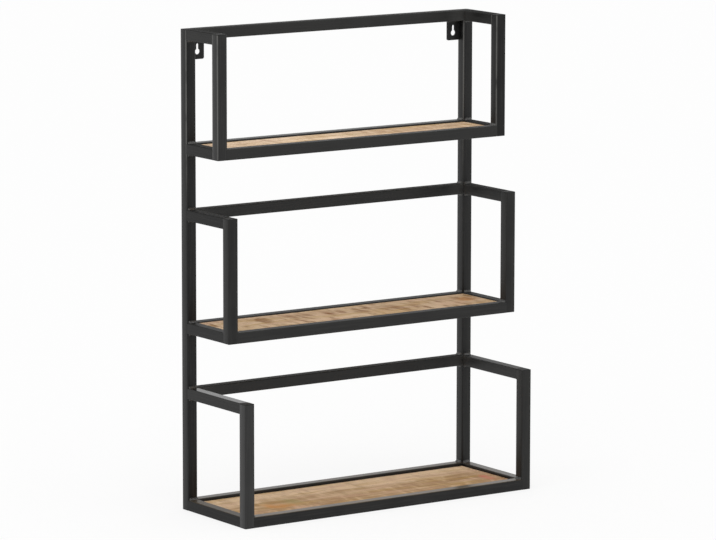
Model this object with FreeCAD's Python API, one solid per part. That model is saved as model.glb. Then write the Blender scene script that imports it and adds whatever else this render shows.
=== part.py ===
import FreeCAD, Part
import math
import os

from FreeCAD import Placement, Rotation, Vector

# Wall shelf of welded square tube: three open tiers, each deeper than the one above, with a plank in each.
# Millimetres. +X to the right seen from the front, +Y towards the wall, +Z up.
# The origin is under the middle of the whole shelf, at the height of its lowest faces.

# The frame as a whole
WIDTH = 600.0
TIER_HEIGHT = 215.0
TIER_GAP = 95.0
TOP_DEPTH = 118.0
MIDDLE_DEPTH = 150.0
BOTTOM_DEPTH = 200.0

# Square tube, and how much of a neighbour's rounded edge the walls of a coped end cover
TUBE = 19.0
TUBE_WALL = 1.2
TUBE_CORNER = 2.0
COPE_SHARE = 0.7

# Plugs in the open ends of posts and uprights
CAP_HEAD = 1.5
CAP_PLUG_LENGTH = 12.0
CAP_PLUG_WALL = 1.4
CAP_CLEARANCE = 0.15

# Rough planks, each as thick as it was sawn
TOP_PLANK = 12.0
MIDDLE_PLANK = 13.0
BOTTOM_PLANK = 9.5
PLANK_EDGE = 1.2
PLANK_GAP = 1.0

# Tabs under the planks
TAB_LENGTH = 30.0
TAB_REACH = 16.0
TAB_THICKNESS = 2.5
TAB_CROP = 4.0
TAB_PLACE_SHARES = (-0.3, 0.3)

# Hanger plates with a keyhole, slot upwards
PLATE_WIDTH = 26.0
PLATE_DROP = 35.0
PLATE_THICKNESS = 2.5
PLATE_CORNER = 3.0
KEYHOLE_HEAD = 10.0
KEYHOLE_SLOT = 5.0
KEYHOLE_RISE = 11.5
KEYHOLE_ABOVE_PLATE_FOOT = 13.0

# Fillet weld beads
BEAD_LEG = 4.0
BEAD_CROWN = 0.5

# How far a cutting shape passes the faces that it cuts
OVERRUN = 1.0

X = Vector(1, 0, 0)
Y = Vector(0, 1, 0)
Z = Vector(0, 0, 1)
SIDES = {"left": -1, "right": 1}

TIER_STEP = TIER_HEIGHT + TIER_GAP
HEIGHT = 2 * TIER_STEP + TIER_HEIGHT
WALL_Y = max(TOP_DEPTH, MIDDLE_DEPTH, BOTTOM_DEPTH) / 2
POST_Y = WALL_Y - TUBE / 2
POST_FRONT_Y = WALL_Y - TUBE
SIDE_X = WIDTH / 2 - TUBE / 2
INNER_X = WIDTH / 2 - TUBE
TUBE_FLAT = TUBE - 2 * TUBE_CORNER
TUBE_BORE = TUBE - 2 * TUBE_WALL


class Tier:
    """Heights and depths that the pieces of one tier share."""

    def __init__(self, name, floor, depth, plank):
        self.name = name
        self.floor = floor
        self.plank = plank
        self.top = floor + TIER_HEIGHT
        self.arm_z = self.top - TUBE / 2
        self.arm_foot = self.top - TUBE
        self.rail_z = floor + TUBE / 2
        self.rail_top = floor + TUBE
        self.front_y = WALL_Y - depth
        self.upright_y = self.front_y + TUBE / 2
        self.upright_back_y = self.front_y + TUBE
        self.tab_z = floor + TUBE_CORNER
        self.plank_z = self.tab_z + TAB_THICKNESS


TIERS = [
    Tier("top", 2 * TIER_STEP, TOP_DEPTH, TOP_PLANK),
    Tier("middle", TIER_STEP, MIDDLE_DEPTH, MIDDLE_PLANK),
    Tier("bottom", 0, BOTTOM_DEPTH, BOTTOM_PLANK),
]


def rounded_rectangle(width, height, radius):
    """Closed outline about the origin: four quarter circles joined by straight lines."""
    arcs = []
    for quarter, (across, up) in enumerate([(1, 1), (-1, 1), (-1, -1), (1, -1)]):
        centre = Vector(across * (width / 2 - radius), up * (height / 2 - radius), 0)
        start = quarter * math.pi / 2
        arcs.append(Part.ArcOfCircle(Part.Circle(centre, Z, radius), start, start + math.pi / 2))
    edges = []
    for arc, following in zip(arcs, arcs[1:] + arcs[:1]):
        edges.append(arc.toShape())
        edges.append(Part.makeLine(arc.EndPoint, following.StartPoint))
    return Part.Wire(edges)


def square(side):
    """Closed square outline about the origin."""
    half = side / 2
    corners = [Vector(half, half), Vector(-half, half), Vector(-half, -half), Vector(half, -half)]
    return Part.makePolygon(corners + corners[:1])


def bar(outline, start, end):
    """Solid bar of this outline between the middles of its two ends."""
    run = end - start
    solid = Part.Face(outline).extrude(Z * run.Length)
    solid.Placement = Placement(start, Rotation(Z, run))
    return solid


def tube_envelope(start, end):
    """Outside of a tube, filled."""
    return bar(rounded_rectangle(TUBE, TUBE, TUBE_CORNER), start, end)


def square_tube(start, end):
    """Hollow square tube, open at both ends."""
    along = Vector(end - start).normalize() * OVERRUN
    return tube_envelope(start, end).cut(bar(square(TUBE_BORE), start - along, end + along))


def vertical_envelope(x, y, foot, top):
    """Outside of a post or upright with its plugs, to which other tubes are coped."""
    return tube_envelope(Vector(x, y, foot), Vector(x, y, top))


def vertical_tube(x, y, foot, top):
    """Post or upright, cut short at both ends by the heads of its plugs."""
    return square_tube(Vector(x, y, foot + CAP_HEAD), Vector(x, y, top - CAP_HEAD))


def coped_tube(start, end, neighbours):
    """Tube between two upright faces, its end walls drawn round the rounded edges that they meet."""
    along = Vector(end - start).normalize() * (COPE_SHARE * TUBE_CORNER)
    return square_tube(start - along, end + along).cut(neighbours)


def post_envelope(side):
    return vertical_envelope(SIDES[side] * SIDE_X, POST_Y, 0, HEIGHT)


def upright_envelope(tier, side):
    return vertical_envelope(SIDES[side] * SIDE_X, tier.upright_y, tier.floor, tier.top)


def cross_envelope(y, z):
    """Space of a cross rail with its drawn-out ends, at which arms and side rails stop."""
    return bar(square(TUBE), Vector(-SIDE_X, y, z), Vector(SIDE_X, y, z))


def post(side):
    return vertical_tube(SIDES[side] * SIDE_X, POST_Y, 0, HEIGHT)


def upright(tier, side):
    return vertical_tube(SIDES[side] * SIDE_X, tier.upright_y, tier.floor, tier.top)


def cross_rail(y, z, verticals):
    """Tube from the left inner face to the right one."""
    return coped_tube(Vector(-INNER_X, y, z), Vector(INNER_X, y, z), verticals)


def rear_rail(z):
    return cross_rail(POST_Y, z, [post_envelope(side) for side in SIDES])


def front_rail(tier):
    return cross_rail(tier.upright_y, tier.rail_z, [upright_envelope(tier, side) for side in SIDES])


def side_tube(tier, side, z, rails):
    """Tube from the upright's back face to the post's front face, beside the cross rails at its height."""
    x = SIDES[side] * SIDE_X
    start = Vector(x, tier.upright_back_y, z)
    end = Vector(x, POST_FRONT_Y, z)
    return coped_tube(start, end, [upright_envelope(tier, side), post_envelope(side)] + rails)


def arm(tier, side):
    return side_tube(tier, side, tier.arm_z, [cross_envelope(POST_Y, tier.arm_z)])


def shelf_side_rail(tier, side):
    rails = [cross_envelope(y, tier.rail_z) for y in (POST_Y, tier.upright_y)]
    return side_tube(tier, side, tier.rail_z, rails)


def end_cap():
    """Hollow plug with its head upwards, the underside of the head at the origin."""
    head = tube_envelope(Vector(), Z * CAP_HEAD)
    plug_side = TUBE_BORE - 2 * CAP_CLEARANCE
    plug = bar(square(plug_side), Z * -CAP_PLUG_LENGTH, Vector())
    hollow = bar(square(plug_side - 2 * CAP_PLUG_WALL), Z * (-CAP_PLUG_LENGTH - OVERRUN), Vector())
    return head.fuse(plug.cut(hollow))


def end_caps(places, foot, top):
    """One plug in each end of the vertical tubes that stand at these places."""
    caps = []
    for x, y in places:
        upper = end_cap()
        upper.Placement = Placement(Vector(x, y, top - CAP_HEAD), Rotation())
        lower = end_cap()
        lower.Placement = Placement(Vector(x, y, foot + CAP_HEAD), Rotation(X, 180))
        caps += [upper, lower]
    return Part.makeCompound(caps)


def post_end_caps():
    return end_caps([(sign * SIDE_X, POST_Y) for sign in SIDES.values()], 0, HEIGHT)


def upright_end_caps(tier):
    return end_caps([(sign * SIDE_X, tier.upright_y) for sign in SIDES.values()], tier.floor, tier.top)


def tab_places(tier):
    """Where each tab meets its rail, and the way it reaches: +1 from the front rail, -1 from the rear one."""
    places = []
    for share in TAB_PLACE_SHARES:
        x = share * 2 * INNER_X
        places.append((Vector(x, tier.upright_back_y, tier.tab_z), 1))
        places.append((Vector(x, POST_FRONT_Y, tier.tab_z), -1))
    return places


def board_tab():
    """Flat lug with cropped corners, its welded edge along X at the origin."""
    half = TAB_LENGTH / 2
    crop_x = half - TAB_CROP
    crop_y = TAB_REACH - TAB_CROP
    corners = [Vector(-half, 0), Vector(half, 0), Vector(half, crop_y), Vector(crop_x, TAB_REACH)]
    corners += [Vector(-crop_x, TAB_REACH), Vector(-half, crop_y)]
    return Part.Face(Part.makePolygon(corners + corners[:1])).extrude(Z * TAB_THICKNESS)


def board_tabs(tier):
    """Lugs on the inner faces of the front and rear rails."""
    tabs = []
    for root, reach in tab_places(tier):
        tab = board_tab()
        tab.Placement = Placement(root, Rotation(Z, 0 if reach > 0 else 180))
        tabs.append(tab)
    return Part.makeCompound(tabs)


def board(tier):
    """Plank with eased long edges, inset in the shelf frame."""
    back_y = POST_FRONT_Y - PLANK_GAP
    front_y = tier.upright_back_y + PLANK_GAP
    end_x = INNER_X - PLANK_GAP
    middle = Vector(0, (front_y + back_y) / 2, tier.plank_z + tier.plank / 2)
    outline = rounded_rectangle(tier.plank, back_y - front_y, PLANK_EDGE)
    return bar(outline, middle - X * end_x, middle + X * end_x)


def plate_frame(side):
    """Corner of the post's inner face and the top rail's underside, and the way from there to the middle."""
    sign = SIDES[side]
    return Vector(sign * INNER_X, WALL_Y - TUBE_CORNER, HEIGHT - TUBE), -sign


def hanger_plate(side):
    """Flat plate set into the corner, back from the wall by the tube's rounding, with a keyhole through it."""
    corner, inward = plate_frame(side)
    outline = rounded_rectangle(2 * PLATE_WIDTH, 2 * PLATE_DROP, PLATE_CORNER)
    plate = Part.Face(outline).extrude(Z * PLATE_THICKNESS)
    plate.Placement = Placement(corner, Rotation(X, 90))
    quarter = Part.makeBox(PLATE_WIDTH, PLATE_THICKNESS, PLATE_DROP)
    quarter.translate(corner + Vector(min(0, inward * PLATE_WIDTH), -PLATE_THICKNESS, -PLATE_DROP))
    return plate.common(quarter).cut(keyhole(corner + X * (inward * PLATE_WIDTH / 2)))


def keyhole(plate_top):
    """Round hole for a screw's head and a narrower slot that rises from it, as one cutting shape."""
    depth = PLATE_THICKNESS + 2 * OVERRUN
    centre = plate_top + Vector(0, OVERRUN, KEYHOLE_ABOVE_PLATE_FOOT - PLATE_DROP)
    head = Part.makeCylinder(KEYHOLE_HEAD / 2, depth, centre, -Y)
    slot_end = Part.makeCylinder(KEYHOLE_SLOT / 2, depth, centre + Z * KEYHOLE_RISE, -Y)
    slot = Part.makeBox(KEYHOLE_SLOT, depth, KEYHOLE_RISE)
    slot.translate(centre - X * (KEYHOLE_SLOT / 2) - Y * depth)
    return head.fuse([slot, slot_end])


def weld_bead(corner, run, first, second):
    """Fillet bead along an inner corner: a leg on each face and a crowned front, centred on the corner point."""
    along = Vector(run).normalize()
    foot = corner - run / 2
    heel = foot + first * BEAD_LEG
    toe = foot + second * BEAD_LEG
    out = Vector(first + second).normalize()
    crown = Part.Arc(heel, (heel + toe) / 2 + out * BEAD_CROWN, toe).toShape()
    outline = Part.Wire([Part.makeLine(foot, heel), crown, Part.makeLine(toe, foot)])
    return Part.Face(outline).extrude(along * run.Length)


def side_beads(tier, x):
    """Beads across an arm and a shelf side rail, at the post and at the upright."""
    faces = [(POST_FRONT_Y, -Y, [(tier.top, Z), (tier.arm_foot, -Z), (tier.rail_top, Z), (tier.floor, -Z)])]
    faces.append((tier.upright_back_y, Y, [(tier.arm_foot, -Z), (tier.rail_top, Z)]))
    beads = []
    for y, along_tube, corners in faces:
        for z, along_face in corners:
            if 0 < z < HEIGHT:
                beads.append(weld_bead(Vector(x, y, z), X * TUBE_FLAT, along_tube, along_face))
    return beads


def cross_beads(tier, sign):
    """Beads across the rear rails at a post, and across the front rail at an upright."""
    corners = [(POST_Y, tier.top, Z), (POST_Y, tier.rail_top, Z), (POST_Y, tier.floor, -Z)]
    corners.append((tier.upright_y, tier.rail_top, Z))
    if tier.top < HEIGHT:
        corners.append((POST_Y, tier.arm_foot, -Z))
    beads = []
    for y, z, along_face in corners:
        if 0 < z < HEIGHT:
            place = Vector(sign * INNER_X, y, z)
            beads.append(weld_bead(place, Y * TUBE_FLAT, X * -sign, along_face))
    return beads


def tier_weld_beads(tier):
    beads = []
    for sign in SIDES.values():
        beads += side_beads(tier, sign * SIDE_X)
        beads += cross_beads(tier, sign)
    return Part.makeCompound(beads)


def hanger_weld_beads():
    """One bead along the top of each plate's front face, under the top rail."""
    beads = []
    for side in SIDES:
        corner, inward = plate_frame(side)
        middle = corner + X * (inward * PLATE_WIDTH / 2) - Y * PLATE_THICKNESS
        beads.append(weld_bead(middle, X * PLATE_WIDTH, -Y, -Z))
    return Part.makeCompound(beads)


def tier_pieces(tier):
    pieces = {
        "back_rail": rear_rail(tier.arm_z),
        "shelf_front_rail": front_rail(tier),
        "shelf_rear_rail": rear_rail(tier.rail_z),
        "board": board(tier),
        "board_tabs": board_tabs(tier),
        "upright_end_caps": upright_end_caps(tier),
        "weld_beads": tier_weld_beads(tier),
    }
    for side in SIDES:
        pieces[side + "_upright"] = upright(tier, side)
        pieces[side + "_arm"] = arm(tier, side)
        pieces["shelf_" + side + "_rail"] = shelf_side_rail(tier, side)
    return {tier.name + "_" + name: shape for name, shape in pieces.items()}


def shelf_pieces():
    pieces = {"post_end_caps": post_end_caps(), "hanger_weld_beads": hanger_weld_beads()}
    for side in SIDES:
        pieces[side + "_post"] = post(side)
        pieces[side + "_hanger_plate"] = hanger_plate(side)
    for tier in TIERS:
        pieces.update(tier_pieces(tier))
    return pieces


def main():
    os.makedirs("parts", exist_ok=True)
    for name, shape in sorted(shelf_pieces().items()):
        shape.exportStep("parts/" + name + ".step")


main()
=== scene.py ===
import math

import bpy
import numpy as np
from bpy.props import FloatProperty, FloatVectorProperty, PointerProperty
from bpy.types import Operator, Panel, PropertyGroup
from mathutils import Matrix, Vector


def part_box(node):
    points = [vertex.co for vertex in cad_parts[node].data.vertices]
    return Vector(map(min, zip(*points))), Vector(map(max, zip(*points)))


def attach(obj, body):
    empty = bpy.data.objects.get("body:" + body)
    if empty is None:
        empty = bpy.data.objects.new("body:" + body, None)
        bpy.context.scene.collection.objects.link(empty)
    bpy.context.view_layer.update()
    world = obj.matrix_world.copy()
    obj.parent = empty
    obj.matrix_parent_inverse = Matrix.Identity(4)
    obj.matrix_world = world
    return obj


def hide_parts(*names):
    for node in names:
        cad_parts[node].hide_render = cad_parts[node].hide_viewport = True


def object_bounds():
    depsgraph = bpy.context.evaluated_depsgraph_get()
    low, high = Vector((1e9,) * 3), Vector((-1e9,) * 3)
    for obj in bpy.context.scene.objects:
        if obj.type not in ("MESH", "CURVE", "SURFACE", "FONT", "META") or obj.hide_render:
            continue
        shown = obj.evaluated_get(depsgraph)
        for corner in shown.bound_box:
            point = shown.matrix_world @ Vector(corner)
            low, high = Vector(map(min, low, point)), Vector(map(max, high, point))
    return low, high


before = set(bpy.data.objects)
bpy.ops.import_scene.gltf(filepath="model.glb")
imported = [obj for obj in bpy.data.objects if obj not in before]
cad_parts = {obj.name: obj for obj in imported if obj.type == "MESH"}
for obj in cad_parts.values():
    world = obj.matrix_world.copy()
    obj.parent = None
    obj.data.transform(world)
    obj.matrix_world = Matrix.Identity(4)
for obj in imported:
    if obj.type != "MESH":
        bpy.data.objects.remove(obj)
CAD_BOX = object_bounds()

bl_info = {
    "name": "Stepped wall shelf",
    "version": (1, 0, 0),
    "blender": (4, 5, 0),
    "location": "3D View > Sidebar > Shelf",
    "description": "Finishes a welded wall shelf with three rough planks on its CAD frame",
    "category": "Object",
}

BODY = "root"
TIERS = ("top", "middle", "bottom")
SIDES = {"left": -1, "right": 1}
X, Y, Z = np.eye(3)


def middle_of(node):
    """Middle of a CAD node's box."""
    low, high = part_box(node)
    return (low + high) / 2


# Sizes that follow from the CAD frame, in metres
POST_LOW, POST_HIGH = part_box("left_post")
TUBE = POST_HIGH.x - POST_LOW.x
SIDE_X = middle_of("right_post").x
HEIGHT = CAD_BOX[1].z
CAP_HEAD = HEIGHT - POST_HIGH.z
BEAD_LOW, BEAD_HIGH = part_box("hanger_weld_beads")
BEAD_LEG = BEAD_HIGH.y - BEAD_LOW.y
BEAD_RUN = TUBE * 0.79

# How far the marks of the saw lean, and how far dry spray with its painted highlight reaches along a tube
# from an inner corner
SAW_SLANT = 0.07
OVERSPRAY_AND_HIGHLIGHT_REACH = 0.045

# Heights between which the dust with its painted sheen fades out, and the worn edges with their painted
# highlight fade in
DUST_AND_SHEEN_FADE = (0.02, 0.1)
WEAR_AND_HIGHLIGHT_FADE = (0.5, 0.7)

# Share of a normal along an axis at which a face starts to count as facing that way, and fully does
FACING = (0.3, 0.9)

# Edges sharper than this stay sharp in the shading
SHARP_ANGLE = math.radians(40)

# Turn from one screw's recess to the next, in radians
SCREW_TURN = 0.7


# Values that a user may change


def colour(name, description, default):
    """A colour of a finish."""
    return FloatVectorProperty(
        name=name, description=description, subtype="COLOR", size=3, min=0.0, max=1.0, default=default
    )


def share(name, description, default):
    """A share from 0 to 1."""
    return FloatProperty(
        name=name, description=description, subtype="FACTOR", min=0.0, max=1.0, default=default
    )


def length(name, description, default):
    """A length in metres."""
    return FloatProperty(
        name=name, description=description, subtype="DISTANCE", unit="LENGTH", min=0.0, precision=5,
        default=default,
    )


def level(name, description, default):
    """The strength of a light."""
    return FloatProperty(name=name, description=description, min=0.0, default=default)


def angle(name, description, degrees):
    """An angle, written in degrees and kept in radians."""
    return FloatProperty(
        name=name, description=description, subtype="ANGLE", unit="ROTATION", default=math.radians(degrees)
    )


class PaintLook(PropertyGroup):
    """Satin black paint on the steel."""

    film: colour("Film", "Colour of the sound paint", (0.004, 0.004, 0.0039))
    thin: colour("Thin film", "Colour of the streaks where the paint is thinner", (0.020, 0.0198, 0.019))
    # The rubbed colour also paints highlights: on the edges of posts and uprights, in inner corners and on
    # the welds
    rubbed_and_highlit: colour("Rubbed edge", "Colour where rounded edges are rubbed", (0.13, 0.128, 0.122))
    # Dust that also paints the sheen of the low top faces
    dust_and_sheen: colour("Dust", "Colour of the dust on the low top faces", (0.30, 0.215, 0.125))
    # How much painted highlight, with the overspray, lies in inner corners
    overspray_and_highlight: share("Overspray", "How much of the rubbed colour dry spray leaves in inner corners", 0.2)
    roughness: share("Roughness", "Roughness of the sound paint", 0.38)
    wet_roughness: share("Wet roughness", "Roughness of a top face on which the paint flowed out", 0.2)
    dry_roughness: share("Dry roughness", "Roughness of a top face on which the spray landed dry", 0.86)
    crown: length("Crown", "How far the walls of an upright tube seem to bulge", 0.0007)
    streak_width: length("Streak width", "Width of a streak along the tube", 0.0022)
    streak_length: length("Streak length", "Length of a streak along the tube", 0.09)


class WoodLook(PropertyGroup):
    """Rough-sawn planks."""

    top_pale: colour("Top pale", "Pale wood of the top plank", (0.93, 0.715, 0.51))
    top_tan: colour("Top tan", "Darker wood of the top plank", (0.49, 0.315, 0.175))
    middle_pale: colour("Middle pale", "Pale wood of the middle plank", (0.72, 0.535, 0.355))
    middle_tan: colour("Middle tan", "Darker wood of the middle plank", (0.44, 0.28, 0.148))
    bottom_pale: colour("Bottom pale", "Pale wood of the bottom plank", (0.82, 0.605, 0.395))
    bottom_tan: colour("Bottom tan", "Darker wood of the bottom plank", (0.41, 0.25, 0.12))
    brown: colour("Brown", "Dark heart wood, pores and stains", (0.21, 0.098, 0.036))
    roughness: share("Roughness", "Roughness of the sawn face", 0.72)
    ring_width: length("Ring width", "Distance from one growth ring to the next", 0.0075)
    saw_pitch: length("Saw pitch", "Distance between the marks of the saw", 0.0036)
    saw_depth: length("Saw depth", "Depth of the deepest marks that a saw can leave", 0.0006)
    hollow: length("Hollow", "How far the face of a plank dips", 0.0005)


class WeldLook(PropertyGroup):
    """Fillet beads in the inner corners."""

    ripple_pitch: length("Ripple pitch", "Distance between the ripples of a bead", 0.0017)
    ripple_height: length("Ripple height", "Height of the ripples of a bead", 0.00028)
    crown: length("Crown", "How far a bead bulges over the line between its feet", 0.0005)


class StageLook(PropertyGroup):
    """Floor, light and camera."""

    world_level: level("World level", "Light from all round", 0.72)
    roof_level: level("Roof light", "Strength of the wide light overhead", 0.85)
    side_power: FloatProperty(
        name="Side light", description="Power of the softbox on the left", unit="POWER", default=12.0
    )
    floor: colour("Floor", "Colour of the floor", (0.95, 0.95, 0.95))
    shadow_share: share("Shadow", "How much of the floor's own shading the camera sees", 0.2)
    azimuth: angle("Azimuth", "Where the camera stands, from the front towards the right", -34.41)
    elevation: angle("Elevation", "How far up the camera stands", 9.13)
    roll: angle("Roll", "Turn of the camera about its own axis", 0.073)
    distance: length("Distance", "From the camera to the point that it looks at", 7.967)
    aim: FloatVectorProperty(
        name="Aim", description="Point that the camera looks at", subtype="TRANSLATION", unit="LENGTH",
        precision=5, default=(-0.00123, 0.0, 0.40549),
    )
    lens: FloatProperty(name="Lens", description="Focal length in millimetres", min=1.0, default=231.0)


class ShelfLook(PropertyGroup):
    """Everything that can be set on the shelf."""

    paint: PointerProperty(type=PaintLook)
    wood: PointerProperty(type=WoodLook)
    weld: PointerProperty(type=WeldLook)
    stage: PointerProperty(type=StageLook)


# What sets each tube and plank apart

# Paint of each tube: its gloss, how grey it is, in part painted light and shade, how dry the spray lies on
# its top face, where 1 has the dry roughness and more is rougher still, and how dusty that face is, with a
# painted sheen, if it isn't as dusty as the rest
COATS = {
    "left_post": (0.25, 0.0, 0.0),
    "right_post": (0.28, 0.0, 0.0),
    "top_left_upright": (0.29, 0.3, 0.0),
    "top_right_upright": (0.165, 0.2, 0.0),
    "middle_left_upright": (0.18, 0.6, 0.0),
    "middle_right_upright": (0.2, 0.5, 0.0),
    "bottom_left_upright": (0.45, 0.0, 0.0),
    "bottom_right_upright": (0.19, 0.75, 0.0),
    "top_back_rail": (0.22, 0.8, 0.78),
    "middle_back_rail": (0.22, 0.65, 0.9),
    "bottom_back_rail": (0.22, 0.75, 0.88),
    "top_left_arm": (0.185, 0.25, 1.1),
    "top_right_arm": (0.16, 0.2, 1.2),
    "middle_left_arm": (0.14, 0.1, 0.8),
    "middle_right_arm": (0.21, 0.25, 1.0),
    "bottom_left_arm": (0.19, 0.25, 0.0),
    "bottom_right_arm": (0.25, 0.45, 0.45),
    "top_shelf_front_rail": (0.22, 0.8, 0.55),
    "middle_shelf_front_rail": (0.22, 0.65, 0.57),
    "bottom_shelf_front_rail": (0.22, 0.25, 0.2, 0.55),
    "top_shelf_rear_rail": (0.22, 0.6, 0.32),
    "middle_shelf_rear_rail": (0.22, 0.5, 0.58),
    "bottom_shelf_rear_rail": (0.22, 0.4, 0.18),
    "top_shelf_left_rail": (0.17, 0.1, 0.9),
    "top_shelf_right_rail": (0.19, 0.2, 1.0),
    "middle_shelf_left_rail": (0.17, 0.1, 0.55),
    "middle_shelf_right_rail": (0.19, 0.2, 0.64),
    "bottom_shelf_left_rail": (0.14, 0.0, 0.33),
    "bottom_shelf_right_rail": (0.19, 0.2, 0.16),
}

# Colours that come and go on the planks
PINK = (0.62, 0.39, 0.26)
OCHRE = (0.50, 0.305, 0.10)
ORANGE = (0.60, 0.28, 0.085)
OLIVE = (0.33, 0.26, 0.09)
UMBER = (0.215, 0.088, 0.022)
RED = (0.58, 0.20, 0.13)

# For each plank: where across it the pale sapwood starts, over what width and how strongly, the same along it
# for its darker end, how strong its blotches, saw marks and bands along the grain are, and its stains, each
# laid over those before it: place along X and Y, length along X, width along Y, colour and strength
PLANKS = {
    "top": {
        "sapwood": (-0.02, 0.05, 0.1),
        "darker_end": (0.02, 0.04, 0.65),
        "blotches": 0.55,
        "saw_marks": 0.2,
        "bands": 0.4,
        "stains": [(-0.20, 0.03, 0.06, 0.04, PINK, 0.25), (0.015, 0.045, 0.03, 0.03, OLIVE, 0.3)],
    },
    "middle": {
        "sapwood": (-0.02, -0.03, 0.1),
        "darker_end": (0.3, 0.3, 0.3),
        "blotches": 1.15,
        "saw_marks": 0.24,
        "bands": 0.45,
        "stains": [
            (-0.172, 0.039, 0.012, 0.030, UMBER, 1.15),
            (-0.110, 0.042, 0.016, 0.022, UMBER, 0.9),
            (-0.080, 0.045, 0.012, 0.018, UMBER, 0.65),
            (-0.035, 0.040, 0.014, 0.024, UMBER, 1.05),
            (-0.010, 0.040, 0.010, 0.020, UMBER, 1.15),
            (0.020, 0.022, 0.020, 0.022, UMBER, 0.9),
            (0.085, 0.032, 0.026, 0.028, UMBER, 0.7),
            (0.135, 0.030, 0.014, 0.022, UMBER, 0.65),
            (0.254, 0.026, 0.026, 0.026, ORANGE, 0.9),
            (0.260, 0.026, 0.020, 0.022, UMBER, 0.8),
        ],
    },
    "bottom": {
        "sapwood": (0.025, 0.035, 1.0),
        "darker_end": (0.2, 0.1, 0.25),
        "blotches": 0.5,
        "saw_marks": 0.1,
        "bands": 0.55,
        "stains": [
            (0.259, -0.028, 0.012, 0.025, RED, 1.3),
            (0.105, 0.054, 0.014, 0.022, PINK, 0.8),
            (-0.162, -0.051, 0.020, 0.024, PINK, 1.4),
            (-0.182, -0.028, 0.034, 0.026, ORANGE, 1.6),
            (-0.145, -0.005, 0.022, 0.026, OLIVE, 1.2),
        ],
    },
}

# Noises of the wood: steps to the metre along X, Y and Z, what is added to the plank's seed, and detail
WOOD_NOISES = {
    "wander": ((7, 16, 16), 0.0, 3.0),
    "heart": ((3, 0, 0), 2.0, 1.0),
    "fibres": ((16, 620, 300), 4.0, 3.0),
    "grain": ((11, 150, 90), 5.0, 3.0),
    "bands": ((4, 40, 30), 6.0, 3.0),
    "mottle": ((70, 21, 21), 7.0, 4.0),
    "patches": ((26, 14, 14), 8.0, 3.0),
    "hue": ((9, 48, 40), 9.0, 3.0),
    "pores": ((95, 1500, 900), 12.0, 1.0),
}

# How far the rings, the sapwood and the darker end sway, in metres
RING_SWAY = 0.03
SIDE_SWAY = 0.04
END_SWAY = 0.2

# How far below a plank's underside the heart of its rings lies at least, and how far it drifts, in metres
HEART_DEPTH = 0.02
HEART_DRIFT = 0.06

# How ragged a stain's edge is, as a share of its size
STAIN_FRAY = 1.6

# Height that each mark adds to a finish, in metres
PAINT_RELIEF = {"streaks": 0.00003, "peel": 0.00002, "clouds": 0.00004}
WELD_RELIEF = {"clouds": 0.00008, "spatter_and_highlight": 0.00005}
GRAIN_RELIEF = 0.00004
WOOD_RELIEF = {"saw": 0.0005, "fibres": 0.00012, "grain": 0.0001, "pores": -0.00012, "late": 0.00003}

# Colours of the small parts
CAP_BLACK = (0.008, 0.008, 0.008)
CAP_GREY = (0.014, 0.014, 0.0138)
CAP_SCUFF = (0.035, 0.035, 0.034)
SCREW_DARK = (0.02, 0.02, 0.021)
SCREW_WORN = (0.07, 0.068, 0.064)


# Node trees written as expressions


class Field:
    """One output of a node. Sums with numbers or other fields add Math nodes to its tree."""

    def __init__(self, tree, socket):
        self.tree = tree
        self.socket = socket

    def maths(self, operation, *terms):
        return self.tree.add("ShaderNodeMath", {"operation": operation}, dict(enumerate(terms)))

    def __add__(self, other):
        return self.maths("ADD", self, other)

    __radd__ = __add__

    def __sub__(self, other):
        return self.maths("SUBTRACT", self, other)

    def __rsub__(self, other):
        return self.maths("SUBTRACT", other, self)

    def __mul__(self, other):
        return self.maths("MULTIPLY", self, other)

    __rmul__ = __mul__

    def __truediv__(self, other):
        return self.maths("DIVIDE", self, other)

    def __rtruediv__(self, other):
        return self.maths("DIVIDE", other, self)

    def __pow__(self, other):
        return self.maths("POWER", self, other)

    def __rpow__(self, other):
        return self.maths("POWER", other, self)

    def __abs__(self):
        return self.maths("ABSOLUTE", self)

    def larger(self, other):
        return self.maths("MAXIMUM", self, other)

    def wave(self):
        """From 0 to 1 and back once for each unit."""
        return self.maths("SINE", self * math.tau) * 0.5 + 0.5

    def ramp(self, low, high):
        """From 0 at low to 1 at high, eased at both ends and held outside them."""
        return self.tree.add(
            "ShaderNodeMapRange",
            {"interpolation_type": "SMOOTHSTEP"},
            {"Value": self, "From Min": low, "From Max": high},
        )


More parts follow.
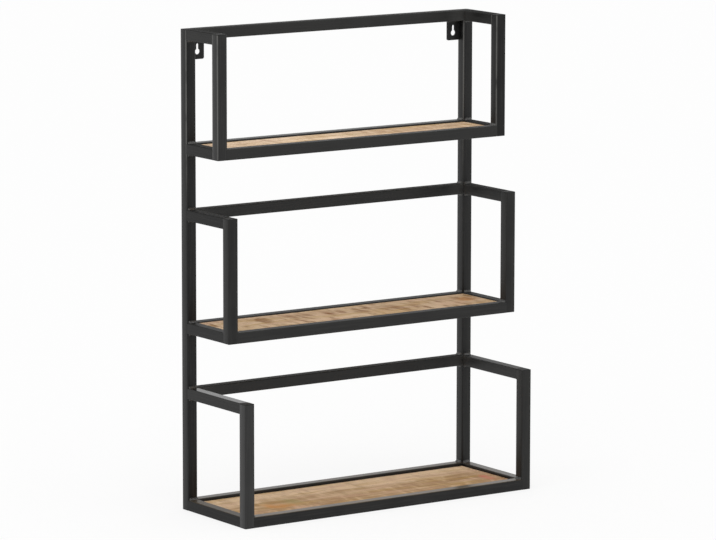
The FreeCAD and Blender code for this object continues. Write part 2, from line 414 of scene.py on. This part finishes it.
class Tree:
    """A node tree, and the nodes that the finishes need."""

    def __init__(self, node_tree):
        self.nodes = node_tree.nodes
        self.links = node_tree.links

    def add(self, kind, settings, sockets, output=0):
        """A node with its settings, then the values or links of its sockets. Gives one of its outputs."""
        node = self.nodes.new(kind)
        for name, value in settings.items():
            setattr(node, name, value)
        for key, value in sockets.items():
            self.feed(node.inputs[key], value)
        return Field(self, node.outputs[output])

    def feed(self, socket, value):
        """Links a field to a socket, or sets the socket's own value."""
        if isinstance(value, Field):
            self.links.new(value.socket, socket)
        else:
            socket.default_value = value

    def place(self):
        return self.add("ShaderNodeTexCoord", {}, {}, "Object")

    def facing(self):
        return self.add("ShaderNodeTexCoord", {}, {}, "Normal")

    def split(self, vector):
        """The three parts of a vector."""
        kind = "ShaderNodeSeparateXYZ"
        return [self.add(kind, {}, {"Vector": vector}, axis) for axis in "XYZ"]

    def vector(self, operation, first, second, output="Vector"):
        return self.add("ShaderNodeVectorMath", {"operation": operation}, {0: first, 1: second}, output)

    def noise(self, vector, steps, seed, detail=3.0):
        """Cloudy value from 0 to 1, with so many steps to the metre along each axis."""
        scaled = self.vector("MULTIPLY", vector, steps)
        moved = self.vector("ADD", scaled, (seed, seed * 1.7, seed * 0.6))
        return self.add("ShaderNodeTexNoise", {}, {"Vector": moved, "Scale": 1.0, "Detail": detail}, "Fac")

    def mix(self, factor, first, second):
        """Colour between two colours."""
        settings = {"data_type": "RGBA", "clamp_factor": True}
        return self.add("ShaderNodeMix", settings, {0: factor, 6: opaque(first), 7: opaque(second)}, 2)

    def bump(self, height):
        """Normal of a surface that this height moves, in metres."""
        return self.add("ShaderNodeBump", {}, {"Strength": 1.0, "Distance": 1.0, "Height": height})


def opaque(value):
    """Three channels with full alpha, or a field as it is."""
    return value if isinstance(value, Field) else (*value, 1.0)


class Finish(Tree):
    """A material with one Principled shader."""

    def __init__(self, name):
        self.material = bpy.data.materials.new(name)
        self.material.use_nodes = True
        super().__init__(self.material.node_tree)
        self.shader = self.nodes["Principled BSDF"]

    def surface(self, **sockets):
        """Feeds the shader: spaces in a socket's name are written as underscores."""
        for name, value in sockets.items():
            self.feed(self.shader.inputs[name.replace("_", " ")], value)
        return self.material


# Finishes


def painted_steel(look, node, gloss=0.22, grey_with_painted_light=0.3, dry=0.8, dust_and_sheen_share=0.3):
    """Satin paint with streaks along the tube, orange peel and specks, dry spray on its top face, and dust
    with a painted sheen on low tops. Arms and back rails keep overspray and a painted highlight in their
    inner corners.
    Each tube's grey is in part painted light and shade. On posts and uprights the walls seem to bulge, and
    the rounded edges are rubbed and carry a painted highlight towards the top of the shelf."""
    finish = Finish("black_paint_on_" + node)
    place = finish.place()
    x, y, z = finish.split(place)
    low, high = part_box(node)
    steps = [1 / look.streak_width] * 3
    steps[np.argmax(high - low)] = 1 / look.streak_length
    streaks = finish.noise(place, steps, seed=3.1)
    clouds = finish.noise(place, (22, 22, 22), seed=8.4, detail=4.0)
    peel = finish.noise(place, (620, 620, 620), seed=1.3, detail=1.0)
    specks = finish.noise(place, (900, 900, 900), seed=5.2, detail=0.0).ramp(0.76, 0.84)
    normal = finish.split(finish.facing())
    upward = normal[2].ramp(*FACING)
    # The grey share set for each tube is in part painted light and shade, lighter or darker tube by tube
    thin = streaks.ramp(0.42, 0.72) * 0.55 + clouds.ramp(0.4, 0.8) * 0.25 + grey_with_painted_light
    # Dust on low top faces that also paints their sheen: dust and painted sheen
    settled_dust_and_sheen = upward * (1 - z.ramp(*DUST_AND_SHEEN_FADE)) * (clouds.ramp(0.2, 0.7) * 0.4 + 0.2) * dust_and_sheen_share
    colours = finish.mix(thin, look.film, look.thin)
    colours = finish.mix(specks * 0.15, colours, look.rubbed_and_highlit)
    colours = finish.mix(settled_dust_and_sheen, colours, look.dust_and_sheen)
    smooth = look.roughness + (streaks - 0.5) * 0.14 + (clouds - 0.5) * 0.1 + specks * 0.2
    top_rough = look.wet_roughness + (look.dry_roughness - look.wet_roughness) * dry
    rough = smooth + upward * (top_rough - look.roughness)
    relief = streaks * PAINT_RELIEF["streaks"] + peel * PAINT_RELIEF["peel"] + clouds * PAINT_RELIEF["clouds"]
    if node.endswith(("arm", "back_rail")):
        # Overspray and painted highlight: the inner corner is painted paler and rougher
        overspray_and_highlight = inner_corner(node, x, y, normal)
        colours = finish.mix(overspray_and_highlight * look.overspray_and_highlight, colours, look.rubbed_and_highlit)
        rough = rough + overspray_and_highlight * 0.25
    if node.endswith(("post", "upright")):
        off_x = (abs(x) - SIDE_X) / (TUBE / 2)
        off_y = (y - middle_of(node).y) / (TUBE / 2)
        relief = relief - (off_x * off_x + off_y * off_y) * look.crown
        # Worn edges that also paint the highlight lines along them, on the side faces by the front and back
        # edges: wear and painted highlight
        edge = abs(off_y).ramp(0.55, 0.85) * abs(normal[0]).ramp(0.35, 0.85)
        wear_and_highlight = edge * clouds.ramp(0.2, 0.5) * z.ramp(*WEAR_AND_HIGHLIGHT_FADE)
        colours = finish.mix(wear_and_highlight * 0.8, colours, look.rubbed_and_highlit)
    return finish.surface(
        Base_Color=colours, Roughness=rough, Specular_IOR_Level=gloss, Normal=finish.bump(relief)
    )


def inner_corner(node, x, y, normal):
    """1 on the inner face of an arm or back rail where it meets a post, fading out along the tube."""
    inner_x = SIDE_X - TUBE / 2
    if node.endswith("arm"):
        inward = normal[0] * -math.copysign(1, middle_of(node).x)
        return inward.ramp(*FACING) * y.ramp(POST_LOW.y - OVERSPRAY_AND_HIGHLIGHT_REACH, POST_LOW.y)
    inward = normal[1] * -1
    return inward.ramp(*FACING) * abs(x).ramp(inner_x - OVERSPRAY_AND_HIGHLIGHT_REACH, inner_x)


def painted_weld(look):
    """The same paint over a bead: thinner and rubbed in places, with spatter; the pale places also paint its
    highlights.
    """
    finish = Finish("black_paint_on_welds")
    place = finish.place()
    clouds = finish.noise(place, (240, 240, 240), seed=2.7)
    spatter_and_highlight = finish.noise(place, (700, 700, 700), seed=6.6, detail=1.0).ramp(0.6, 0.75)
    # The pale patches and spatter also paint the highlights on the bead: painted highlight
    colours = finish.mix(clouds.ramp(0.3, 0.7) * 0.35, look.thin, look.rubbed_and_highlit)
    colours = finish.mix(spatter_and_highlight * 0.4, colours, look.rubbed_and_highlit)
    rough = look.roughness - 0.1 + (clouds - 0.5) * 0.2
    relief = clouds * WELD_RELIEF["clouds"] + spatter_and_highlight * WELD_RELIEF["spatter_and_highlight"]
    return finish.surface(
        Base_Color=colours, Roughness=rough, Specular_IOR_Level=0.5, Normal=finish.bump(relief)
    )


def moulded_plastic():
    """Matt black plastic with a fine spark-eroded grain and a few pale scuffs."""
    finish = Finish("black_cap_plastic")
    place = finish.place()
    grain = finish.noise(place, (1500, 1500, 1500), seed=4.0, detail=1.0)
    scuffs = finish.noise(place, (90, 900, 300), seed=9.1, detail=2.0).ramp(0.62, 0.74)
    colours = finish.mix(grain, CAP_BLACK, CAP_GREY)
    colours = finish.mix(scuffs * 0.5, colours, CAP_SCUFF)
    rough = 0.66 + (grain - 0.5) * 0.12
    relief = finish.bump(grain * GRAIN_RELIEF)
    return finish.surface(Base_Color=colours, Roughness=rough, Specular_IOR_Level=0.22, Normal=relief)


def blackened_screw():
    """Dark phosphated steel, worn brighter in places."""
    finish = Finish("black_screw_steel")
    mottle = finish.noise(finish.place(), (800, 800, 800), seed=7.7)
    colours = finish.mix(mottle.ramp(0.35, 0.7), SCREW_DARK, SCREW_WORN)
    rough = 0.38 + mottle * 0.2
    relief = finish.bump(mottle * GRAIN_RELIEF)
    return finish.surface(Base_Color=colours, Roughness=rough, Metallic=0.85, Normal=relief)


def sawn_wood(look, tier, seed, plank):
    """Growth rings and fibres along X, marks of the saw across them, pores, blotches, a sapwood side, a
    darker end and stains. The rings are circles about a heart that wanders below the plank."""
    finish = Finish(tier + "_sawn_wood")
    pale = getattr(look, tier + "_pale")
    tan = getattr(look, tier + "_tan")
    place = finish.place()
    x, y, z = finish.split(place)
    wander, heart, fibres, grain, bands, mottle, patches, hue, pores = (
        finish.noise(place, steps, seed + shift, detail) for steps, shift, detail in WOOD_NOISES.values()
    )
    across = y + (wander - 0.5) * RING_SWAY
    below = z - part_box(tier + "_board")[0].z + HEART_DEPTH + heart * HEART_DRIFT
    radius = (across * across + below * below) ** 0.5
    rings = (radius / look.ring_width + wander * 1.5).wave()
    late = rings.ramp(0.55, 1.0)
    slanted = finish.add("ShaderNodeCombineXYZ", {}, {"X": x + y * SAW_SLANT, "Y": y, "Z": z})
    saw = finish.noise(slanted, (0.7 / look.saw_pitch, 7, 7), seed + 10.0)
    kerf = saw.ramp(0.4, 0.62)
    pores = pores.ramp(0.62, 0.74)

    # Pale and tan wood by rings, fibres, grain and bands, with the sapwood side and the darker end
    side, side_width, side_share = plank["sapwood"]
    end, end_width, end_share = plank["darker_end"]
    sapwood = ((y + (wander - 0.5) * SIDE_SWAY - side) / side_width).ramp(-1.0, 1.0)
    shaded = ((x + (patches - 0.5) * END_SWAY - end) / end_width).ramp(-1.0, 1.0)
    slow = (shaded - 0.5) * end_share - (sapwood - 0.5) * side_share
    deep = late * 0.25 + fibres.ramp(0.3, 0.7) * 0.25 + grain.ramp(0.35, 0.65) * 0.3 + 0.12
    deep = deep + (bands.ramp(0.35, 0.65) - 0.5) * plank["bands"]
    colours = finish.mix(deep * 0.8 + slow, pale, tan)

    # Blotches, drifts of hue and marks of the saw
    ragged = kerf * plank["saw_marks"] * 2 + fibres.ramp(0.35, 0.65) * 0.5 + 0.2
    colours = finish.mix(mottle.ramp(0.48, 0.68) * ragged * plank["blotches"], colours, look.brown)
    colours = finish.mix((1 - mottle).ramp(0.52, 0.68) * 0.5, colours, pale)
    colours = finish.mix(hue.ramp(0.48, 0.68) * 0.5, colours, PINK)
    colours = finish.mix((1 - hue).ramp(0.48, 0.68) * 0.5, colours, OCHRE)
    colours = finish.mix(kerf * patches.ramp(0.3, 0.65) * plank["saw_marks"], colours, tan)

    # Stains with a frayed edge, then the pores
    frayed = (patches - 0.5) * STAIN_FRAY + (mottle - 0.5) * STAIN_FRAY
    for spot_x, spot_y, spot_length, spot_width, tint, strength in plank["stains"]:
        offset = finish.vector("SUBTRACT", place, (spot_x, spot_y, 0))
        offset = finish.vector("MULTIPLY", offset, (1 / spot_length, 1 / spot_width, 0))
        reach = finish.vector("LENGTH", offset, (0, 0, 0), "Value") + frayed
        colours = finish.mix((1 - reach.ramp(0.2, 1.2)) * ragged * strength, colours, tint)
    colours = finish.mix(pores * 0.5, colours, look.brown)

    rough = look.roughness + (fibres - 0.5) * 0.16 + pores * 0.1
    marks = {"saw": saw * plank["saw_marks"], "fibres": fibres, "grain": grain, "pores": pores, "late": late}
    relief = sum(mark * WOOD_RELIEF[name] for name, mark in marks.items())
    return finish.surface(
        Base_Color=colours, Roughness=rough, Specular_IOR_Level=0.08, Normal=finish.bump(relief)
    )


# Surfaces


def clouds_2d(u, v, seed):
    """Smooth chance value from 0 to 1: numbers on a unit grid, eased from each grid point to the next."""
    size = 64
    table = np.random.default_rng(seed).random((size, size))
    u, v = np.broadcast_arrays(u, v)
    column = np.floor(u).astype(int)
    row = np.floor(v).astype(int)
    ease_u = (u - column) ** 2 * (3 - 2 * (u - column))
    ease_v = (v - row) ** 2 * (3 - 2 * (v - row))
    left, right = column % size, (column + 1) % size
    front, back = row % size, (row + 1) % size
    near = table[left, front] * (1 - ease_u) + table[right, front] * ease_u
    far = table[left, back] * (1 - ease_u) + table[right, back] * ease_u
    return near * (1 - ease_v) + far * ease_v


def rounded_square(half, corner, points):
    """Outline about the origin as an array of points: a quarter circle on each corner, with straight lines
    between them."""
    angles = np.linspace(0, math.pi / 2, points)
    turns = np.arange(4)[:, None] * math.pi / 2
    signs = np.sign(np.stack([np.cos(turns + math.pi / 4), np.sin(turns + math.pi / 4)], axis=-1))
    arcs = np.stack([np.cos(turns + angles), np.sin(turns + angles)], axis=-1) * corner
    return (signs * (half - corner) + arcs).reshape(-1, 2)


def closed_faces(rings, points, start):
    """Quads between neighbouring rings, each ring closed on itself, and one face over each end ring. The
    numbers of their points count from start."""
    ring = start + np.arange(rings - 1)[:, None] * points
    point = np.arange(points)
    following = (point + 1) % points
    corners = [ring + point, ring + following, ring + points + following, ring + points + point]
    quads = np.stack(corners, axis=-1).reshape(-1, 4)
    first = start + point[::-1]
    last = start + (rings - 1) * points + point
    return [*quads.tolist(), first.tolist(), last.tolist()]


def make_piece(name, grids, material, nodes):
    """One mesh of several closed surfaces, each an array of rings by points by three, in place of these CAD
    nodes."""
    faces = []
    start = 0
    for grid in grids:
        rings, points = grid.shape[:2]
        faces += closed_faces(rings, points, start)
        start += rings * points
    mesh = bpy.data.meshes.new(name)
    mesh.from_pydata(np.concatenate([grid.reshape(-1, 3) for grid in grids]).tolist(), [], faces)
    mesh.shade_smooth()
    mesh.set_sharp_from_angle(angle=SHARP_ANGLE)
    mesh.materials.append(material)
    piece = bpy.data.objects.new(name, mesh)
    bpy.context.scene.collection.objects.link(piece)
    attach(piece, BODY)
    if nodes:
        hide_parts(*nodes)


def plank_grid(low, high, look, saw_depth, seed):
    """A rounded rectangle carried along X, whose upper face sinks by saw marks and a slow hollow, and whose
    long edges are nibbled. All three fade to nothing at the underside."""
    edge = 0.0012
    nibble_depth = 0.0006
    nibble_length = 0.013
    hollow_length = 0.09
    hollow_width = 0.06
    saw_fade = 0.05
    x = np.linspace(low.x, high.x, 380)[:, None]
    half_depth = (high.y - low.y) / 2
    half_height = (high.z - low.z) / 2
    flat_y = half_depth - edge
    flat_z = half_height - edge
    face = np.linspace(-1, 1, 64)
    arc = np.linspace(0, math.pi / 2, 6)[1:-1]
    quarters = [(flat_y, flat_z), (-flat_y, flat_z), (-flat_y, -flat_z), (flat_y, -flat_z)]
    corners = []
    for turn, (corner_y, corner_z) in enumerate(quarters):
        turned = arc + turn * math.pi / 2
        corners.append(np.stack([corner_y + edge * np.cos(turned), corner_z + edge * np.sin(turned)]))
    upper = np.stack([-face * flat_y, np.full_like(face, half_height)])
    lower = np.stack([face * flat_y, np.full_like(face, -half_height)])
    y, z = np.concatenate([corners[0], upper, corners[1], corners[2], lower, corners[3]], axis=1)[:, None, :]
    saw = clouds_2d((x + y * SAW_SLANT) / look.saw_pitch, y / saw_fade, seed)
    slow = clouds_2d(x / hollow_length, y / hollow_width, seed + 1)
    nibble = clouds_2d(x / nibble_length, y * 0, seed + 2) ** 3
    top_share = np.clip((z + half_height) / (2 * half_height), 0, 1)
    sunk_z = z - top_share * (saw * saw_depth + slow * look.hollow)
    inner_y = y * (1 - top_share * nibble * nibble_depth / half_depth)
    middle = (low + high) / 2
    return np.stack(np.broadcast_arrays(x, middle.y + inner_y, middle.z + sunk_z), axis=-1)


def bead_grid(corner, along, run, first, second, look, seed):
    """A fillet carried along a corner: a bulged line from one foot to the other, rippled in crescents along
    the run, and narrower at both ends. Its root is sunk a little into the corner."""
    trail = 0.0012
    sink = 0.0003
    end_share = 0.25
    least_foot = 0.86
    t = np.linspace(-1, 1, 60)[:, None]
    u = np.linspace(0, 1, 13)[None, :]
    taper = (1 - t ** 10) ** 0.5 * (1 - end_share) + end_share
    foot_a = BEAD_LEG * taper * (least_foot + (1 - least_foot) * clouds_2d(t * 3 + 7, t * 0, seed))
    foot_b = BEAD_LEG * taper * (least_foot + (1 - least_foot) * clouds_2d(t * 3 + 7, t * 0 + 9, seed))
    crescent = t * run / 2 - trail * (1 - (2 * u - 1) ** 2)
    ripple = np.abs(np.sin(crescent / look.ripple_pitch * math.pi)) ** 0.7
    bulge = np.sin(u * math.pi) * (look.crown * taper + look.ripple_height * (ripple - 1)) * math.sqrt(0.5)
    root = np.full_like(t, -sink)
    out_a = np.concatenate([foot_a * (1 - u) + bulge, root], axis=1)[..., None]
    out_b = np.concatenate([foot_b * u + bulge, root], axis=1)[..., None]
    grid = corner + along * (t * run / 2)[..., None] + first * out_a + second * out_b
    return grid if np.dot(np.cross(first, second), along) > 0 else grid[:, ::-1]


def cap_grid(centre, up):
    """Rounded squares stacked along Z: a low crown, a rounded rim, the head's side, and the hollow plug below
    it."""
    half = TUBE / 2
    corner = 0.002
    rim = 0.0008
    crown = 0.00025
    tube_wall_and_play = 0.00135
    plug_wall = 0.0014
    plug = half - tube_wall_and_play
    bore = plug - plug_wall
    plug_foot = -0.012
    roof = -0.0004
    bend = np.linspace(0, math.pi / 2, 6)
    shares = np.linspace(0.05, 1, 6)[:-1]
    widths = [*(half - rim) * shares, *(half - rim + rim * np.sin(bend))]
    widths += [half, plug, plug, bore, bore, bore * 0.05]
    heights = [*(CAP_HEAD - crown * shares ** 2), *(CAP_HEAD - crown - rim + rim * np.cos(bend))]
    heights += [0, 0, plug_foot, plug_foot, roof, roof]
    outlines = np.array([rounded_square(width, min(corner, width * 0.4), 8) for width in widths])
    levels = np.broadcast_to(np.array(heights)[:, None, None], (*outlines.shape[:2], 1))
    stack = np.concatenate([outlines, levels], axis=-1)
    if up > 0:
        stack = stack[:, ::-1]
    return np.asarray(centre) + stack * (1, 1, up)


def screw_head_grid(place, turn):
    """A domed head under a tab: circles of growing width, their height a flat dome less a cross-shaped
    recess."""
    radius = 0.0038
    height = 0.0019
    slot_half = 0.00062
    slot_reach = 0.0021
    slot_depth = 0.0011
    side_slope = 0.0002
    end_slope = 0.0003
    sink = 0.0001
    own = np.linspace(0, math.tau, 65)[:-1][None, :]
    part = np.linspace(0.03, 1, 26)[:, None]
    cosine, sine = np.cos(own + turn), np.sin(own + turn)
    off_slot = radius * part * np.minimum(np.abs(np.cos(own)), np.abs(np.sin(own)))
    inside = np.clip((slot_half - off_slot) / side_slope, 0, 1)
    recess = inside * np.clip((slot_reach - radius * part) / end_slope, 0, 1)
    drop = height * (1 - 0.75 * part ** 3) - slot_depth * recess
    face = np.stack([radius * part * cosine, radius * part * sine, -drop], axis=-1)
    rim = np.stack([radius * cosine, radius * sine, np.full_like(own, sink)], axis=-1)
    return np.asarray(place) + np.concatenate([face, rim])


# Places that follow from the CAD nodes


def tier_corners(tier):
    """Corner point, direction of the run and the two faces' directions for every bead of one tier."""
    corners = []
    for side, sign in SIDES.items():
        post_low, post_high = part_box(side + "_post")
        upright_low, upright_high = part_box(f"{tier}_{side}_upright")
        arm_low, arm_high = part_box(f"{tier}_{side}_arm")
        rail_low, rail_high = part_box(f"{tier}_shelf_{side}_rail")
        side_x = (post_low.x + post_high.x) / 2
        inner_x = post_high.x if sign < 0 else post_low.x
        post_y = (post_low.y + post_high.y) / 2
        upright_y = (upright_low.y + upright_high.y) / 2
        # No corner lies at an end of the post, and the hanger plates fill those under the top back rail
        levels = [(arm_high.z, Z), (arm_low.z, -Z), (rail_high.z, Z), (rail_low.z, -Z)]
        free = [(z, up) for z, up in levels if TUBE / 2 < z < HEIGHT - TUBE / 2]
        hung = [(z, up) for z, up in free if z < HEIGHT - 2 * TUBE]
        corners += [((side_x, post_low.y, z), X, -Y, up) for z, up in free]
        corners += [((side_x, upright_high.y, z), X, Y, up) for z, up in ((arm_low.z, -Z), (rail_high.z, Z))]
        corners += [((inner_x, post_y, z), Y, -sign * X, up) for z, up in hung]
        corners.append(((inner_x, upright_y, rail_high.z), Y, -sign * X, Z))
    return corners


def tab_middles(tier):
    """Middle of the underside of each tab: one tab stands in each quarter of the plan."""
    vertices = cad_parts[tier + "_board_tabs"].data.vertices
    points = np.empty(len(vertices) * 3)
    vertices.foreach_get("co", points)
    points = points.reshape(-1, 3)
    beyond = points[:, :2] > (points[:, :2].min(axis=0) + points[:, :2].max(axis=0)) / 2
    places = []
    for quarter in ((0, 0), (0, 1), (1, 0), (1, 1)):
        tab = points[(beyond == quarter).all(axis=1)]
        low, high = tab.min(axis=0), tab.max(axis=0)
        places.append(((low[0] + high[0]) / 2, (low[1] + high[1]) / 2, low[2]))
    return places


# Stage


def seen_rays(tree):
    """1 for rays from the camera, mirrored or let through, and 0 for those that carry light."""
    kinds = ("Camera", "Glossy", "Transmission")
    camera, glossy, let_through = (
        tree.add("ShaderNodeLightPath", {}, {}, f"Is {kind} Ray") for kind in kinds
    )
    return camera.larger(glossy).larger(let_through)


def set_world(look):
    """White where it is seen, and the world's own level where it lights."""
    world = bpy.data.worlds.new("studio_white")
    bpy.context.scene.world = world
    world.use_nodes = True
    tree = Tree(world.node_tree)
    strength = look.world_level + seen_rays(tree) * (1 - look.world_level)
    tree.feed(tree.nodes["Background"].inputs["Color"], (1, 1, 1, 1))
    tree.feed(tree.nodes["Background"].inputs["Strength"], strength)


def lay_floor(look):
    """A wide flat sheet, mostly white to the camera, that keeps part of its own shading for the shadow."""
    reach = 14.0
    corners = [(-reach, -reach, 0), (reach, -reach, 0), (reach, reach, 0), (-reach, reach, 0)]
    mesh = bpy.data.meshes.new("studio_floor")
    mesh.from_pydata(corners, [], [(0, 1, 2, 3)])
    finish = Finish("studio_floor")
    finish.surface(Base_Color=opaque(look.floor), Roughness=0.9, Specular_IOR_Level=0.0)
    glow = finish.add("ShaderNodeEmission", {}, {"Color": (1, 1, 1, 1), "Strength": 1.0})
    seen = seen_rays(finish) * (1 - look.shadow_share)
    shaded = Field(finish, finish.shader.outputs[0])
    mixed = finish.add("ShaderNodeMixShader", {}, {0: seen, 1: shaded, 2: glow})
    finish.feed(finish.nodes["Material Output"].inputs["Surface"], mixed)
    mesh.materials.append(finish.material)
    floor = bpy.data.objects.new("studio_floor", mesh)
    bpy.context.scene.collection.objects.link(floor)


def hang_roof_light(strength):
    """A wide soft light from above and a little from the front left, the same all over the floor."""
    lamp = bpy.data.lights.new("roof_light", "SUN")
    lamp.energy = strength
    lamp.angle = math.radians(70)
    holder = bpy.data.objects.new("roof_light", lamp)
    holder.rotation_euler = (math.radians(18), math.radians(-12), 0)
    bpy.context.scene.collection.objects.link(holder)


def hang_side_light(power):
    """A tall softbox on the left that faces the middle of the shelf."""
    lamp = bpy.data.lights.new("side_light", "AREA")
    lamp.shape = "RECTANGLE"
    lamp.size = 1.2
    lamp.size_y = 2.6
    lamp.energy = power
    holder = bpy.data.objects.new("side_light", lamp)
    holder.location = (-3.6, -1.9, 1.6)
    aim = Vector((0, 0, HEIGHT / 2)) - holder.location
    holder.rotation_euler = aim.to_track_quat("-Z", "Y").to_euler()
    bpy.context.scene.collection.objects.link(holder)


def set_camera(scene, look):
    """A long lens that looks at the aim from its azimuth and elevation."""
    camera = bpy.data.cameras.new("view")
    camera.lens = look.lens
    camera.sensor_width = 36
    camera.clip_end = 100
    away = Vector((
        math.sin(look.azimuth) * math.cos(look.elevation),
        -math.cos(look.azimuth) * math.cos(look.elevation),
        math.sin(look.elevation),
    ))
    holder = bpy.data.objects.new("view", camera)
    turn = (-away).to_track_quat("-Z", "Y").to_matrix() @ Matrix.Rotation(look.roll, 3, "Z")
    holder.location = Vector(look.aim) + away * look.distance
    holder.rotation_euler = turn.to_euler()
    scene.collection.objects.link(holder)
    scene.camera = holder


# Operators


def set_finish(node, material):
    """Gives a CAD node this one material."""
    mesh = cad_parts[node].data
    mesh.materials.clear()
    mesh.materials.append(material)


class SHELF_OT_coat_frame(Operator):
    """Paints the tubes, hanger plates and tabs, with streaks along each tube"""

    bl_idname = "shelf.coat_frame"
    bl_label = "Coat the steel frame"

    def execute(self, context):
        look = context.scene.wall_shelf.paint
        for node, coat in COATS.items():
            set_finish(node, painted_steel(look, node, *coat))
        on_tabs = painted_steel(look, "top_board_tabs")
        on_plates = painted_steel(look, "left_hanger_plate")
        for tier in TIERS:
            set_finish(tier + "_board_tabs", on_tabs)
        for side in SIDES:
            set_finish(side + "_hanger_plate", on_plates)
        return {"FINISHED"}


class SHELF_OT_fit_end_caps(Operator):
    """Puts a plastic plug with a soft rim into each open end of the posts and uprights"""

    bl_idname = "shelf.fit_end_caps"
    bl_label = "Fit the end caps"

    def execute(self, context):
        plastic = moulded_plastic()
        groups = {"post_end_caps": [side + "_post" for side in SIDES]}
        for tier in TIERS:
            groups[tier + "_upright_end_caps"] = [f"{tier}_{side}_upright" for side in SIDES]
        for node, tubes in groups.items():
            grids = []
            for tube in tubes:
                low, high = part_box(tube)
                x, y, _ = middle_of(tube)
                grids += [cap_grid((x, y, high.z), 1), cap_grid((x, y, low.z), -1)]
            make_piece(node + "_moulded", grids, plastic, [node])
        return {"FINISHED"}


class SHELF_OT_lay_planks(Operator):
    """Lays a rough-sawn plank into each shelf frame"""

    bl_idname = "shelf.lay_planks"
    bl_label = "Lay the planks"

    def execute(self, context):
        look = context.scene.wall_shelf.wood
        for number, tier in enumerate(TIERS):
            plank = PLANKS[tier]
            finish_seed = 11.0 + 17.0 * number
            shape_seed = 10 * number
            wood = sawn_wood(look, tier, finish_seed, plank)
            low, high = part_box(tier + "_board")
            grid = plank_grid(low, high, look, look.saw_depth * plank["saw_marks"], shape_seed)
            make_piece(tier + "_plank", [grid], wood, [tier + "_board"])
        return {"FINISHED"}


class SHELF_OT_run_welds(Operator):
    """Runs a rippled bead along each welded inner corner"""

    bl_idname = "shelf.run_welds"
    bl_label = "Run the weld beads"

    def execute(self, context):
        shelf = context.scene.wall_shelf
        paint = painted_weld(shelf.paint)
        for tier in TIERS:
            grids = [
                bead_grid(np.array(corner), along, BEAD_RUN, first, second, shelf.weld, seed)
                for seed, (corner, along, first, second) in enumerate(tier_corners(tier))
            ]
            make_piece(tier + "_bead_runs", grids, paint, [tier + "_weld_beads"])
        grids = []
        for seed, side in enumerate(SIDES, start=50):
            low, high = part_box(side + "_hanger_plate")
            corner = np.array(((low.x + high.x) / 2, low.y, high.z))
            grids.append(bead_grid(corner, X, high.x - low.x, -Y, -Z, shelf.weld, seed))
        make_piece("hanger_bead_runs", grids, paint, ["hanger_weld_beads"])
        return {"FINISHED"}


class SHELF_OT_drive_screws(Operator):
    """Shows the head of a wood screw under each tab"""

    bl_idname = "shelf.drive_screws"
    bl_label = "Drive the screws"

    def execute(self, context):
        steel = blackened_screw()
        for tier in TIERS:
            places = enumerate(tab_middles(tier))
            grids = [screw_head_grid(place, SCREW_TURN * number) for number, place in places]
            make_piece(tier + "_board_screws", grids, steel, [])
        return {"FINISHED"}


class SHELF_OT_set_stage(Operator):
    """Lays a pale floor, hangs the lights and sets up the camera"""

    bl_idname = "shelf.set_stage"
    bl_label = "Set the stage"

    def execute(self, context):
        look = context.scene.wall_shelf.stage
        context.scene.view_settings.view_transform = "Standard"
        set_world(look)
        lay_floor(look)
        hang_roof_light(look.roof_level)
        hang_side_light(look.side_power)
        set_camera(context.scene, look)
        return {"FINISHED"}


class SHELF_PT_finish(Panel):
    """Steps that finish the shelf, in order"""

    bl_idname = "SHELF_PT_finish"
    bl_label = "Wall shelf"
    bl_space_type = "VIEW_3D"
    bl_region_type = "UI"
    bl_category = "Shelf"

    def draw(self, context):
        for step in STEPS:
            self.layout.operator(step.bl_idname)
        for group in ("paint", "wood", "weld", "stage"):
            box = self.layout.box()
            look = getattr(context.scene.wall_shelf, group)
            for name in look.__annotations__:
                box.prop(look, name)


STEPS = (
    SHELF_OT_coat_frame,
    SHELF_OT_fit_end_caps,
    SHELF_OT_lay_planks,
    SHELF_OT_run_welds,
    SHELF_OT_drive_screws,
    SHELF_OT_set_stage,
)
CLASSES = (PaintLook, WoodLook, WeldLook, StageLook, ShelfLook, *STEPS, SHELF_PT_finish)


def register():
    for each in CLASSES:
        bpy.utils.register_class(each)
    bpy.types.Scene.wall_shelf = PointerProperty(type=ShelfLook)


def unregister():
    del bpy.types.Scene.wall_shelf
    for each in reversed(CLASSES):
        bpy.utils.unregister_class(each)


def main():
    register()
    bpy.ops.shelf.coat_frame()
    bpy.ops.shelf.fit_end_caps()
    bpy.ops.shelf.lay_planks()
    bpy.ops.shelf.run_welds()
    bpy.ops.shelf.drive_screws()
    bpy.ops.shelf.set_stage()


if __name__ == "__main__":
    main()
